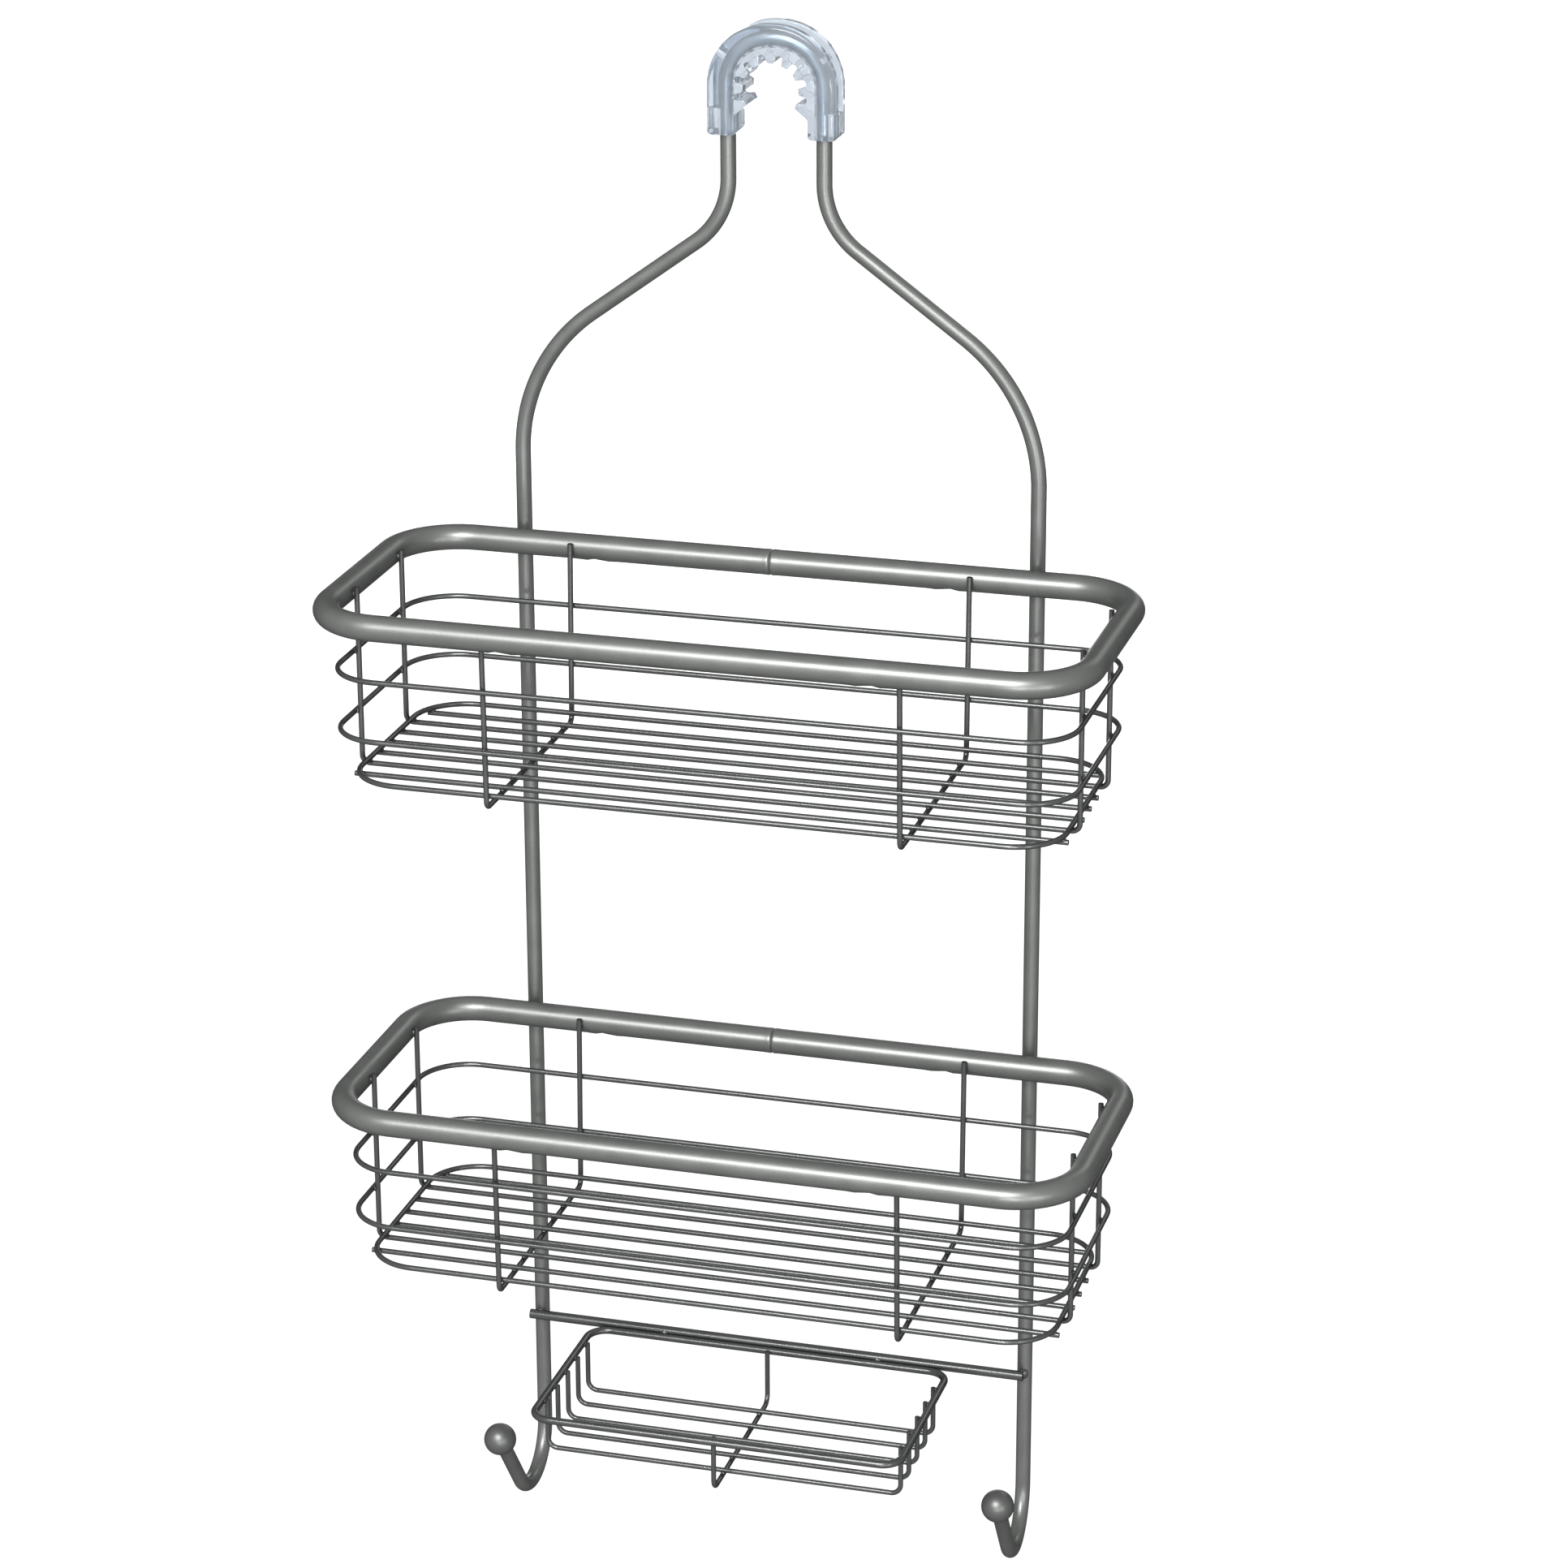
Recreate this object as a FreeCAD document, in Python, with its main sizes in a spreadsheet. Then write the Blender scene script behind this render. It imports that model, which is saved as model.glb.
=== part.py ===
import FreeCAD, Part
import math
import os
import re
import Sketcher
from FreeCAD import Vector

# Shower caddy: a bent rod frame that hangs on a shower arm, two wire baskets with tube rims,
# a crossbar with a wire soap dish, and a ball-ended hook at the foot of each upright.
# Millimetres. The origin is on the axis of the shower arm, which runs along Y; +Z is up and
# the baskets stand out towards -Y.

# Driving dimensions. Levels are measured from the arm's axis, drops from the level above.
SIZES = {
    # frame rod
    "rod_dia": 6.0,
    "upright_span": 204.0,
    "neck_span": 37.2,
    "hook_flat": 2.0,
    "neck_drop": 50.7,
    "shoulder_drop": 111.5,
    "neck_bend": 31.0,
    "shoulder_bend": 70.0,
    "foot_drop": 565.0,
    "foot_bend": 19.0,
    "foot_rise": 52.0,
    "foot_reach": 40.0,
    "left_hook_twist": 1.0,
    "right_hook_twist": 3.2,
    "ball_dia": 13.0,
    "ball_core": 2.0,
    # clear grip over the hook
    "arm_dia": 21.3,
    "grip_depth": 16.0,
    "grip_inside": 4.5,
    "grip_outside": 6.3,
    "grip_leg": 17.4,
    "grip_corner": 2.0,
    "grip_edge": 0.6,
    "grip_band": 9.5,
    "slot_width": 6.2,
    "bridge_width": 2.6,
    "bridge_sink": 1.0,
    "bridge_angle": 32.0,
    "tooth_count": 9,
    "tooth_pitch": 29.0,
    "tooth_tip": 2.7,
    "tooth_base": 4.6,
    "tooth_sink": 2.0,
    # baskets
    "upper_drop": 181.2,
    "basket_spacing": 198.4,
    "rim_dia": 10.0,
    "rim_wall": 1.0,
    "rim_overhang": 43.0,
    "rim_depth": 116.0,
    "rim_bend": 26.0,
    "wire_dia": 2.1,
    "upper_ring_drop": 22.8,
    "lower_ring_drop": 46.5,
    "floor_drop": 65.0,
    "ring_bend": 20.0,
    "rib_span": 158.0,
    "rib_bend": 3.0,
    "rib_lean": 1.8,
    "rib_top": 2.5,
    "floor_pitch": 12.0,
    "floor_shift": 3.5,
    "wire_overhang": 2.0,
    # crossbar and soap dish
    "crossbar_dia": 4.0,
    "crossbar_drop": 515.2,
    "crossbar_overhang": 2.0,
    "crossbar_shift": -1.5,
    "dish_rim_dia": 3.0,
    "dish_length": 150.0,
    "dish_depth": 81.0,
    "dish_bend": 8.0,
    "dish_sag": 1.5,
    "dish_shift": -2.5,
    "dish_wire_dia": 2.0,
    "dish_height": 20.0,
    "dish_pitch": 12.8,
    "dish_wire_bend": 4.0,
    "dish_wire_top": 0.8,
}

# Places and sizes that follow from the driving dimensions.
PLACES = {
    "upright_x": "upright_span / 2",
    "neck_x": "neck_span / 2",
    "hook_bend": "neck_x - hook_flat / 2",
    "slope_turn": "atan((upright_x - neck_x) / (shoulder_drop - neck_drop))",
    "neck_end": "-neck_drop + neck_bend * tan(slope_turn / 2) + rod_dia",
    "shoulder_end": "-shoulder_drop - shoulder_bend * tan(slope_turn / 2) - rod_dia",
    "upright_end": "rod_dia - foot_drop",
    "foot_turn": "foot_bend * tan((90 + foot_rise) / 2)",
    "foot_run": "foot_turn + foot_reach",
    "ball_out": "foot_run * cos(foot_rise)",
    "ball_z": "-foot_drop - foot_turn + foot_run * sin(foot_rise)",
    "rod_end_y": "-(foot_run - ball_core) * cos(foot_rise)",
    "rod_end_z": "-foot_drop - foot_turn + (foot_run - ball_core) * sin(foot_rise)",
    "arm_radius": "arm_dia / 2",
    "grip_in_x": "-neck_x + grip_inside",
    "grip_out_x": "-neck_x - grip_outside",
    "grip_inner": "neck_x - grip_inside",
    "grip_outer": "neck_x + grip_outside",
    "tooth_root": "grip_inner + tooth_sink",
    "slot_end": "-grip_leg + grip_band",
    "slot_reach": "grip_outer + 1",
    "bridge_foot": "neck_x + rod_dia / 4",
    "bridge_top": "grip_outer - bridge_sink",
    "lower_drop": "upper_drop + basket_spacing",
    "basket_y": "-(rod_dia + rim_dia + rim_depth) / 2",
    "rim_x": "upright_x + rim_overhang",
    "rim_y": "rim_depth / 2",
    "rim_bore": "rim_dia - 2 * rim_wall",
    "post_x": "rim_x - rim_dia / 2 - wire_dia / 2",
    "lean_rate": "rib_lean / floor_drop",
    "lean_cos": "cos(atan(lean_rate))",
    "lean_gap": "wire_dia / lean_cos",
    "leg_y": "rim_y - (rim_dia + wire_dia) / 2 / lean_cos",
    "leg_top_y": "leg_y + lean_rate * rib_top",
    "ring_x": "post_x + wire_dia",
    "upper_ring_y": "leg_y - lean_rate * upper_ring_drop + lean_gap",
    "lower_ring_y": "leg_y - lean_rate * lower_ring_drop + lean_gap",
    "floor_x": "post_x - rib_bend",
    "floor_y": "leg_y - rib_lean - lean_gap",
    "wire_level": "-(floor_drop + wire_dia)",
    "rib_level": "-(floor_drop + 2 * wire_dia)",
    "leg_foot_y": "leg_y + lean_rate * rib_level",
    "crossbar_length": "upright_span + 2 * crossbar_overhang",
    "crossbar_y": "-(rod_dia + crossbar_dia) / 2",
    "dish_reach": "(crossbar_dia + dish_rim_dia) / 2",
    "dish_rear_y": "crossbar_y - sqrt(dish_reach^2 - dish_sag^2)",
    "dish_y": "dish_rear_y - dish_depth / 2",
    "dish_level": "-(crossbar_drop + dish_sag)",
    "dish_inset": "(dish_rim_dia + dish_wire_dia) / 2",
    "dish_leg_x": "dish_length / 2 - dish_inset",
    "dish_leg_y": "dish_depth / 2 - dish_inset",
    "dish_rib_level": "-(dish_height + dish_wire_dia)",
}

PLANES = {"XY": "XY_Plane", "XZ": "XZ_Plane", "YZ": "YZ_Plane"}
FLOOR_WIRES = 7
LONG_RIB_ROWS = {2: "long_rib_rear", 6: "long_rib_front"}
DISH_WIRES = 5

doc = FreeCAD.newDocument("shower_caddy")
nodes = []


# --- sheets and formulas -----------------------------------------------------------------

def add_sheet(name, cells):
    """Put named cells in a sheet of their own, one row each, with the name as alias."""
    sheet = doc.addObject("Spreadsheet::Sheet", name)
    for row, (alias, content) in enumerate(cells.items(), start=1):
        sheet.set(f"A{row}", alias)
        sheet.set(f"B{row}", str(content))
        sheet.setAlias(f"B{row}", alias)
    return sheet


def linked(formula):
    """Turn the plain names of a formula into references to the sheets' cells."""
    def reference(match):
        word = match.group(0)
        if word in SIZES:
            return f"Sizes.{word}"
        if word in PLACES:
            return f"Places.{word}"
        return word
    return re.sub(r"[a-z][a-z_]*", reference, str(formula))


def value(formula):
    """The number that a formula gives with the sheets as they stand."""
    return float(sizes_sheet.evalExpression(linked(formula)))


def bind(item, **formulas):
    """Set properties of an object by formula; a double underscore stands for a dot."""
    for key, formula in formulas.items():
        item.setExpression(key.replace("__", "."), linked(formula))


# --- sketches ----------------------------------------------------------------------------

def add_body(name):
    return doc.addObject("PartDesign::Body", name)


def origin_item(body, role):
    """One of a body's own origin planes or axes."""
    return [item for item in body.Origin.OriginFeatures if item.Role == role][0]


def add_sketch(body, name, plane, offset="0"):
    """A sketch on one of the body's own origin planes, moved along the plane's normal."""
    sketch = body.newObject("Sketcher::SketchObject", name)
    sketch.AttachmentSupport = [(origin_item(body, PLANES[plane]), "")]
    sketch.MapMode = "FlatFace"
    if offset != "0":
        bind(sketch, AttachmentOffset__Base__z=offset)
    return sketch


def hold_size(sketch, kind, geometry, formula, name):
    """Add a dimension to a sketch and bind it to a formula."""
    index = sketch.addConstraint(Sketcher.Constraint(kind, *geometry, value(formula)))
    sketch.renameConstraint(index, name)
    sketch.setExpression(f"Constraints.{name}", linked(formula))


def hold_point(sketch, geometry, end, x, y, name):
    """Place one point of a sketch by the formulas of its two coordinates."""
    for kind, formula, axis in (("DistanceX", x, -2), ("DistanceY", y, -1)):
        if formula == "0":
            sketch.addConstraint(Sketcher.Constraint("PointOnObject", geometry, end, axis))
        else:
            hold_size(sketch, kind, (-1, 1, geometry, end), formula, f"{name}_{kind[-1].lower()}")


def nearest_end(sketch, geometry, place):
    """Which end of a line or arc lies at a place: 1 is its start and 2 its end."""
    first = (sketch.getPoint(geometry, 1) - place).Length
    second = (sketch.getPoint(geometry, 2) - place).Length
    return 1 if first < second else 2


def bend_points(before, corner, after, radius):
    """Start, middle and end of the arc that rounds a corner."""
    way_in = (before - corner).normalize()
    way_out = (after - corner).normalize()
    half = way_in.getAngle(way_out) / 2
    bisector = (way_in + way_out).normalize()
    length = radius / math.tan(half)
    depth = (radius ** 2 + length ** 2) ** 0.5 - radius
    return corner + way_in * length, corner + bisector * depth, corner + way_out * length


def draw_path(sketch, corners, closed=False):
    """Straight runs joined by tangent arcs, held by the path's corners and bend radii.

    corners is a list of (x, y, bend radius), all formulas; the two ends of an open path
    have no radius.
    """
    count = len(corners)
    places = [Vector(value(x), value(y), 0) for x, y, _ in corners]
    marks = []
    for index, (x, y, _) in enumerate(corners):
        mark = sketch.addGeometry(Part.Point(places[index]), True)
        hold_point(sketch, mark, 1, x, y, f"corner_{index}")
        marks.append(mark)
    arcs = {}
    for index, (_, _, radius) in enumerate(corners):
        if radius is None:
            continue
        around = places[index - 1], places[index], places[(index + 1) % count]
        arcs[index] = bend_points(*around, value(radius))
    bends = {index: sketch.addGeometry(Part.Arc(*three)) for index, three in arcs.items()}
    for index in range(count if closed else count - 1):
        ahead = (index + 1) % count
        start = arcs[index][2] if index in arcs else places[index]
        finish = arcs[ahead][0] if ahead in arcs else places[ahead]
        run = sketch.addGeometry(Part.LineSegment(start, finish))
        for corner, end, place in ((index, 1, start), (ahead, 2, finish)):
            if corner in bends:
                bend = bends[corner]
                touch = nearest_end(sketch, bend, place)
                sketch.addConstraint(Sketcher.Constraint("Tangent", run, end, bend, touch))
                sketch.addConstraint(Sketcher.Constraint("PointOnObject", marks[corner], 1, run))
            else:
                sketch.addConstraint(Sketcher.Constraint("Coincident", run, end, marks[corner], 1))
    for index, bend in bends.items():
        hold_size(sketch, "Radius", (bend,), corners[index][2], f"bend_{index}")


def draw_circle(sketch, x, y, dia, name):
    """A circle held by its centre and diameter."""
    centre = Vector(value(x), value(y), 0)
    circle = sketch.addGeometry(Part.Circle(centre, Vector(0, 0, 1), value(dia) / 2))
    hold_point(sketch, circle, 3, x, y, f"{name}_centre")
    hold_size(sketch, "Diameter", (circle,), dia, f"{name}_dia")


def draw_block(sketch, left, right, width):
    """A rectangle from one x to another, centred on the sketch's x axis."""
    x = (value(left), value(right))
    y = value(width) / 2
    places = [Vector(x[0], -y, 0), Vector(x[1], -y, 0), Vector(x[1], y, 0), Vector(x[0], y, 0)]
    for index in range(4):
        sketch.addGeometry(Part.LineSegment(places[index], places[(index + 1) % 4]))
        kind = "Vertical" if index % 2 else "Horizontal"
        sketch.addConstraint(Sketcher.Constraint(kind, index))
    for index in range(4):
        sketch.addConstraint(Sketcher.Constraint("Coincident", index, 2, (index + 1) % 4, 1))
    hold_size(sketch, "DistanceX", (-1, 1, 3, 1), left, "left")
    hold_size(sketch, "DistanceX", (-1, 1, 1, 1), right, "right")
    hold_size(sketch, "DistanceY", (-1, 1, 1, 2), f"{width} / 2", "above")
    hold_size(sketch, "DistanceY", (1, 1, -1, 1), f"{width} / 2", "below")


def pipe_along(body, name, spine, profile, kind="PartDesign::AdditivePipe"):
    """Sweep a profile sketch along a path sketch."""
    pipe = body.newObject(kind, name)
    pipe.Profile = profile
    pipe.Spine = (spine, [f"Edge{index + 1}" for index in range(len(spine.Shape.Edges))])
    return pipe


def add_node(item, label):
    """Give a sub-part its own label and list it for export."""
    item.Label = label
    nodes.append(item)
    return item


# --- bent wire, rings and straight wire --------------------------------------------------

def bent_wire(body, name, plane, corners, start_plane, start_offset, start, dia):
    """One bent wire in a body: a path, a round section at its start, and the sweep."""
    spine = add_sketch(body, f"{name}_path", plane)
    draw_path(spine, corners)
    profile = add_sketch(body, f"{name}_section", start_plane, start_offset)
    draw_circle(profile, start[0], start[1], dia, "wire")
    doc.recompute()
    return pipe_along(body, f"{name}_sweep", spine, profile)


def ring(label, half_x, half_y, bend, dia, bore=None):
    """A rounded rectangle of wire, or of tube if it has a bore."""
    body = add_body(label)
    spine = add_sketch(body, f"{label}_path", "XY")
    draw_path(spine, [(half_x, half_y, bend), (half_x, f"-{half_y}", bend),
                      (f"-{half_x}", f"-{half_y}", bend), (f"-{half_x}", half_y, bend)],
              closed=True)
    profile = add_sketch(body, f"{label}_section", "YZ")
    draw_circle(profile, half_y, "0", dia, "outside")
    doc.recompute()
    pipe_along(body, f"{label}_sweep", spine, profile)
    if bore:
        hollow = add_sketch(body, f"{label}_bore", "YZ")
        draw_circle(hollow, half_y, "0", bore, "bore")
        doc.recompute()
        pipe_along(body, f"{label}_hollow", spine, hollow, "PartDesign::SubtractivePipe")
    return add_node(body, label)


def place(item, x="0", y="0", z="0"):
    bind(item, Placement__Base__x=x, Placement__Base__y=y, Placement__Base__z=z)


def straight_wire(label, length, dia, x, y, z):
    """A straight round wire along X, centred on x."""
    wire = doc.addObject("Part::Cylinder", label)
    wire.Placement.Rotation = FreeCAD.Rotation(Vector(0, 1, 0), 90)
    bind(wire, Radius=f"{dia} / 2", Height=length)
    place(wire, f"{x} - ({length}) / 2", y, z)
    return add_node(wire, label)


# --- frame: one rod, in the lengths between its bends --------------------------------------

def rod_hook():
    """The top of the rod: a half circle over the shower arm and the start of both necks."""
    body = add_body("rod_hook")
    bent_wire(body, "hook", "XZ", [("-neck_x", "neck_end", None),
                                   ("-neck_x", "neck_x", "hook_bend"),
                                   ("neck_x", "neck_x", "hook_bend"),
                                   ("neck_x", "neck_end", None)],
              "XY", "neck_end", ("-neck_x", "0"), "rod_dia")
    return add_node(body, "rod_hook")


def rod_shoulder(side, sign):
    """A neck bend, a slope and a shoulder bend on one side."""
    label = f"rod_shoulder_{side}"
    body = add_body(label)
    bent_wire(body, label, "XZ", [(f"{sign}neck_x", "neck_end", None),
                                  (f"{sign}neck_x", "-neck_drop", "neck_bend"),
                                  (f"{sign}upright_x", "-shoulder_drop", "shoulder_bend"),
                                  (f"{sign}upright_x", "shoulder_end", None)],
              "XY", "neck_end", (f"{sign}neck_x", "0"), "rod_dia")
    return add_node(body, label)


def rod_upright(side, x):
    """The straight stretch of the rod that carries the baskets."""
    upright = doc.addObject("Part::Cylinder", f"rod_upright_{side}")
    bind(upright, Radius="rod_dia / 2", Height="shoulder_end - upright_end")
    place(upright, x, "0", "upright_end")
    return add_node(upright, f"rod_upright_{side}")


def rod_foot(side, x):
    """The rod's end, bent forward and up into a hook, twisted a little towards +X."""
    label = f"rod_foot_{side}"
    body = add_body(label)
    bent_wire(body, label, "YZ", [("0", "upright_end", None),
                                  ("0", "-foot_drop - foot_turn", "foot_bend"),
                                  ("rod_end_y", "rod_end_z", None)],
              "XY", "upright_end", ("0", "0"), "rod_dia")
    body.Placement.Rotation = FreeCAD.Rotation(Vector(0, 0, 1), 1)
    bind(body, Placement__Rotation__Angle=f"{side}_hook_twist")
    place(body, x)
    return add_node(body, label)


def hook_ball(side, x, rod):
    """A ball with a socket that the rod's end sits in."""
    label = f"hook_ball_{side}"
    ball = doc.addObject("Part::Sphere", f"{label}_blank")
    bind(ball, Radius="ball_dia / 2")
    place(ball, f"{x} + ball_out * sin({side}_hook_twist)",
          f"-ball_out * cos({side}_hook_twist)", "ball_z")
    return add_node(cut_by(ball, rod, label), label)


def cut_by(base, tool, name):
    cut = doc.addObject("Part::Cut", name)
    cut.Base = base
    cut.Tool = tool
    return cut


def crossbar():
    """The straight bar welded across the fronts of the uprights."""
    straight_wire("crossbar", "crossbar_length", "crossbar_dia", "crossbar_shift",
                  "crossbar_y", "-crossbar_drop")


# --- grip --------------------------------------------------------------------------------

def grip_sleeve(body):
    """The sleeve over the hook: a rounded block section swept along the rod's line."""
    path = add_sketch(body, "sleeve_path", "XZ")
    draw_path(path, [("-neck_x", "-grip_leg", None), ("-neck_x", "neck_x", "hook_bend"),
                     ("neck_x", "neck_x", "hook_bend"), ("neck_x", "-grip_leg", None)])
    section = add_sketch(body, "sleeve_section", "XY", "-grip_leg")
    draw_path(section, [("grip_out_x", "-grip_depth / 2", "grip_corner"),
                        ("grip_in_x", "-grip_depth / 2", "grip_edge"),
                        ("grip_in_x", "grip_depth / 2", "grip_edge"),
                        ("grip_out_x", "grip_depth / 2", "grip_corner")], closed=True)
    doc.recompute()
    pipe_along(body, "sleeve", path, section)


def grip_slot(body):
    """A slot along the sleeve's outside that shows the rod, crossed by two bridges."""
    path = add_sketch(body, "slot_path", "XZ")
    draw_path(path, [("-neck_x", "slot_end", None), ("-neck_x", "neck_x", "hook_bend"),
                     ("neck_x", "neck_x", "hook_bend"), ("neck_x", "slot_end", None)])
    section = add_sketch(body, "slot_section", "XY", "slot_end")
    draw_block(section, "-slot_reach", "-neck_x", "slot_width")
    doc.recompute()
    pipe_along(body, "slot", path, section, "PartDesign::SubtractivePipe")
    bridge = add_sketch(body, "bridge_outline", "XZ")
    bridge.AttachmentOffset.Rotation = FreeCAD.Rotation(Vector(0, 0, 1), 1)
    bind(bridge, AttachmentOffset__Rotation__Angle="bridge_angle")
    draw_block(bridge, "bridge_foot", "bridge_top", "bridge_width")
    pad = body.newObject("PartDesign::Pad", "bridge")
    pad.Profile = bridge
    pad.SideType = "Symmetric"
    bind(pad, Length="slot_width + 1")
    doc.recompute()
    pair = body.newObject("PartDesign::Mirrored", "bridges")
    pair.Originals = [pad]
    pair.MirrorPlane = (origin_item(body, "YZ_Plane"), [""])
    body.Tip = pair


def grip_teeth(body):
    """Teeth round the shower arm: one tooth at the right end, patterned over the top."""
    tooth = add_sketch(body, "tooth_outline", "XZ")
    tooth.AttachmentOffset.Rotation = FreeCAD.Rotation(Vector(0, 0, 1), 1)
    bind(tooth, AttachmentOffset__Rotation__Angle="90 - tooth_pitch * (tooth_count - 1) / 2")
    tip_x = "sqrt(arm_radius^2 - (tooth_tip / 2)^2)"
    tip = [Vector(value(tip_x), value("tooth_tip") / 2 * side, 0) for side in (1, -1)]
    base = [Vector(value("tooth_root"), value("tooth_base") / 2 * side, 0) for side in (1, -1)]
    crown = tooth.addGeometry(Part.Arc(tip[0], Vector(value("arm_radius"), 0, 0), tip[1]))
    sides = [tooth.addGeometry(Part.LineSegment(tip[index], base[index])) for index in (0, 1)]
    back = tooth.addGeometry(Part.LineSegment(base[0], base[1]))
    tooth.addConstraint(Sketcher.Constraint("Coincident", crown, 3, -1, 1))
    for index, side in enumerate(sides):
        end = nearest_end(tooth, crown, tip[index])
        tooth.addConstraint(Sketcher.Constraint("Coincident", side, 1, crown, end))
        tooth.addConstraint(Sketcher.Constraint("Coincident", side, 2, back, index + 1))
    tooth.addConstraint(Sketcher.Constraint("Symmetric", back, 1, back, 2, -1))
    hold_size(tooth, "Radius", (crown,), "arm_radius", "crown")
    hold_size(tooth, "DistanceY", (-1, 1, sides[0], 1), "tooth_tip / 2", "tip_above")
    hold_size(tooth, "DistanceY", (sides[1], 1, -1, 1), "tooth_tip / 2", "tip_below")
    hold_size(tooth, "DistanceY", (back, 2, back, 1), "tooth_base", "base")
    hold_size(tooth, "DistanceX", (-1, 1, back, 1), "tooth_root", "root")
    pad = body.newObject("PartDesign::Pad", "tooth")
    pad.Profile = tooth
    pad.SideType = "Symmetric"
    bind(pad, Length="grip_depth - 2 * grip_edge")
    doc.recompute()
    comb = body.newObject("PartDesign::PolarPattern", "teeth")
    comb.Originals = [pad]
    comb.Axis = (origin_item(body, "Y_Axis"), [""])
    bind(comb, Angle="tooth_pitch * (tooth_count - 1)", Occurrences="tooth_count")
    comb.Reversed = True
    body.Tip = comb


def hook_grip(rod):
    """The clear grip, with the rod's channel cut through it."""
    body = add_body("grip_moulding")
    grip_sleeve(body)
    grip_slot(body)
    grip_teeth(body)
    return add_node(cut_by(body, rod, "hook_grip"), "hook_grip")


# --- baskets -----------------------------------------------------------------------------

def cross_rib(label, x, level):
    """A wire under the floor from front to rear, with both ends turned up to the rim."""
    body = add_body(label)
    corners = [("leg_top_y", "rib_top", None), ("leg_foot_y", "rib_level", "rib_bend"),
               ("-leg_foot_y", "rib_level", "rib_bend"), ("-leg_top_y", "rib_top", None)]
    bent_wire(body, label, "YZ", corners, "XY", "rib_top", ("0", "leg_top_y"), "wire_dia")
    place(body, x, "basket_y", level)
    return add_node(body, label)


def long_rib(label, row_y, level):
    """A floor wire whose two ends turn up as posts to the rim."""
    body = add_body(label)
    corners = [("-post_x", "rib_top", None), ("-post_x", "wire_level", "rib_bend"),
               ("post_x", "wire_level", "rib_bend"), ("post_x", "rib_top", None)]
    bent_wire(body, label, "XZ", corners, "XY", "rib_top", ("-post_x", "0"), "wire_dia")
    place(body, "0", f"basket_y + {row_y}", level)
    return add_node(body, label)


def floor_wire(label, row_y, level):
    """A straight floor wire whose ends reach a little past the floor ring."""
    corner = f"max(0; abs({row_y}) - floor_y + ring_bend)"
    reach = f"floor_x - ring_bend + sqrt(ring_bend^2 - ({corner})^2) + wire_overhang"
    straight_wire(label, f"2 * ({reach})", "wire_dia", "0", f"basket_y + {row_y}",
                  f"{level} + wire_level")


def basket(name, level):
    """One basket: rim, three rings, two cross ribs, two long ribs and five floor wires."""
    rings = (("rim", "rim_x", "rim_y", "rim_bend", "rim_dia", "rim_bore", "0"),
             ("upper_ring", "ring_x", "upper_ring_y", "ring_bend", "wire_dia", None,
              "upper_ring_drop"),
             ("lower_ring", "ring_x", "lower_ring_y", "ring_bend", "wire_dia", None,
              "lower_ring_drop"),
             ("floor_ring", "floor_x", "floor_y", "ring_bend", "wire_dia", None, "floor_drop"))
    for kind, half_x, half_y, bend, dia, bore, drop in rings:
        item = ring(f"{name}_{kind}", half_x, half_y, bend, dia, bore)
        place(item, "0", "basket_y", f"{level} - {drop}")
    for side, x in (("left", "-rib_span / 2"), ("right", "rib_span / 2")):
        cross_rib(f"{name}_cross_rib_{side}", x, level)
    straight = 0
    for row in range(1, FLOOR_WIRES + 1):
        row_y = f"(floor_shift + floor_pitch * ({(FLOOR_WIRES + 1) // 2 - row}))"
        if row in LONG_RIB_ROWS:
            long_rib(f"{name}_{LONG_RIB_ROWS[row]}", row_y, level)
        else:
            straight += 1
            floor_wire(f"{name}_floor_wire_{straight}", row_y, level)


# --- soap dish ---------------------------------------------------------------------------

def soap_dish():
    """The dish: a wire rim along the crossbar, five long U wires and a rib under them."""
    rim = ring("dish_rim", "(dish_length / 2)", "(dish_depth / 2)", "dish_bend", "dish_rim_dia")
    place(rim, "dish_shift", "dish_y", "dish_level")
    for row in range(1, DISH_WIRES + 1):
        label = f"dish_wire_{row}"
        body = add_body(label)
        corners = [("-dish_leg_x", "dish_wire_top", None),
                   ("-dish_leg_x", "-dish_height", "dish_wire_bend"),
                   ("dish_leg_x", "-dish_height", "dish_wire_bend"),
                   ("dish_leg_x", "dish_wire_top", None)]
        bent_wire(body, label, "XZ", corners, "XY", "dish_wire_top", ("-dish_leg_x", "0"),
                  "dish_wire_dia")
        offset = (DISH_WIRES + 1) // 2 - row
        place(body, "dish_shift", f"dish_y + dish_pitch * ({offset})", "dish_level")
        add_node(body, label)
    rib = add_body("dish_rib")
    corners = [("dish_leg_y", "dish_wire_top", None),
               ("dish_leg_y", "dish_rib_level", "dish_wire_bend"),
               ("-dish_leg_y", "dish_rib_level", "dish_wire_bend"),
               ("-dish_leg_y", "dish_wire_top", None)]
    bent_wire(rib, "dish_rib", "YZ", corners, "XY", "dish_wire_top", ("0", "dish_leg_y"),
              "dish_wire_dia")
    place(rib, "dish_shift", "dish_y", "dish_level")
    add_node(rib, "dish_rib")


# --- export ------------------------------------------------------------------------------

def check_document():
    """Stop if any object failed to compute or any sub-part's shape is empty or invalid."""
    for item in doc.Objects:
        faults = {"Invalid", "Error"} & set(item.State)
        if faults:
            raise RuntimeError(f"{item.Label}: {sorted(faults)}")
    for node in nodes:
        if node.Shape.isNull() or not node.Shape.isValid():
            raise RuntimeError(f"{node.Label}: empty or invalid shape")


def export_nodes():
    os.makedirs("parts", exist_ok=True)
    for node in nodes:
        node.Shape.exportStep(f"parts/{node.Label}.step")
        print(node.Label, len(node.Shape.Solids), round(node.Shape.Volume, 1))


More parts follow.
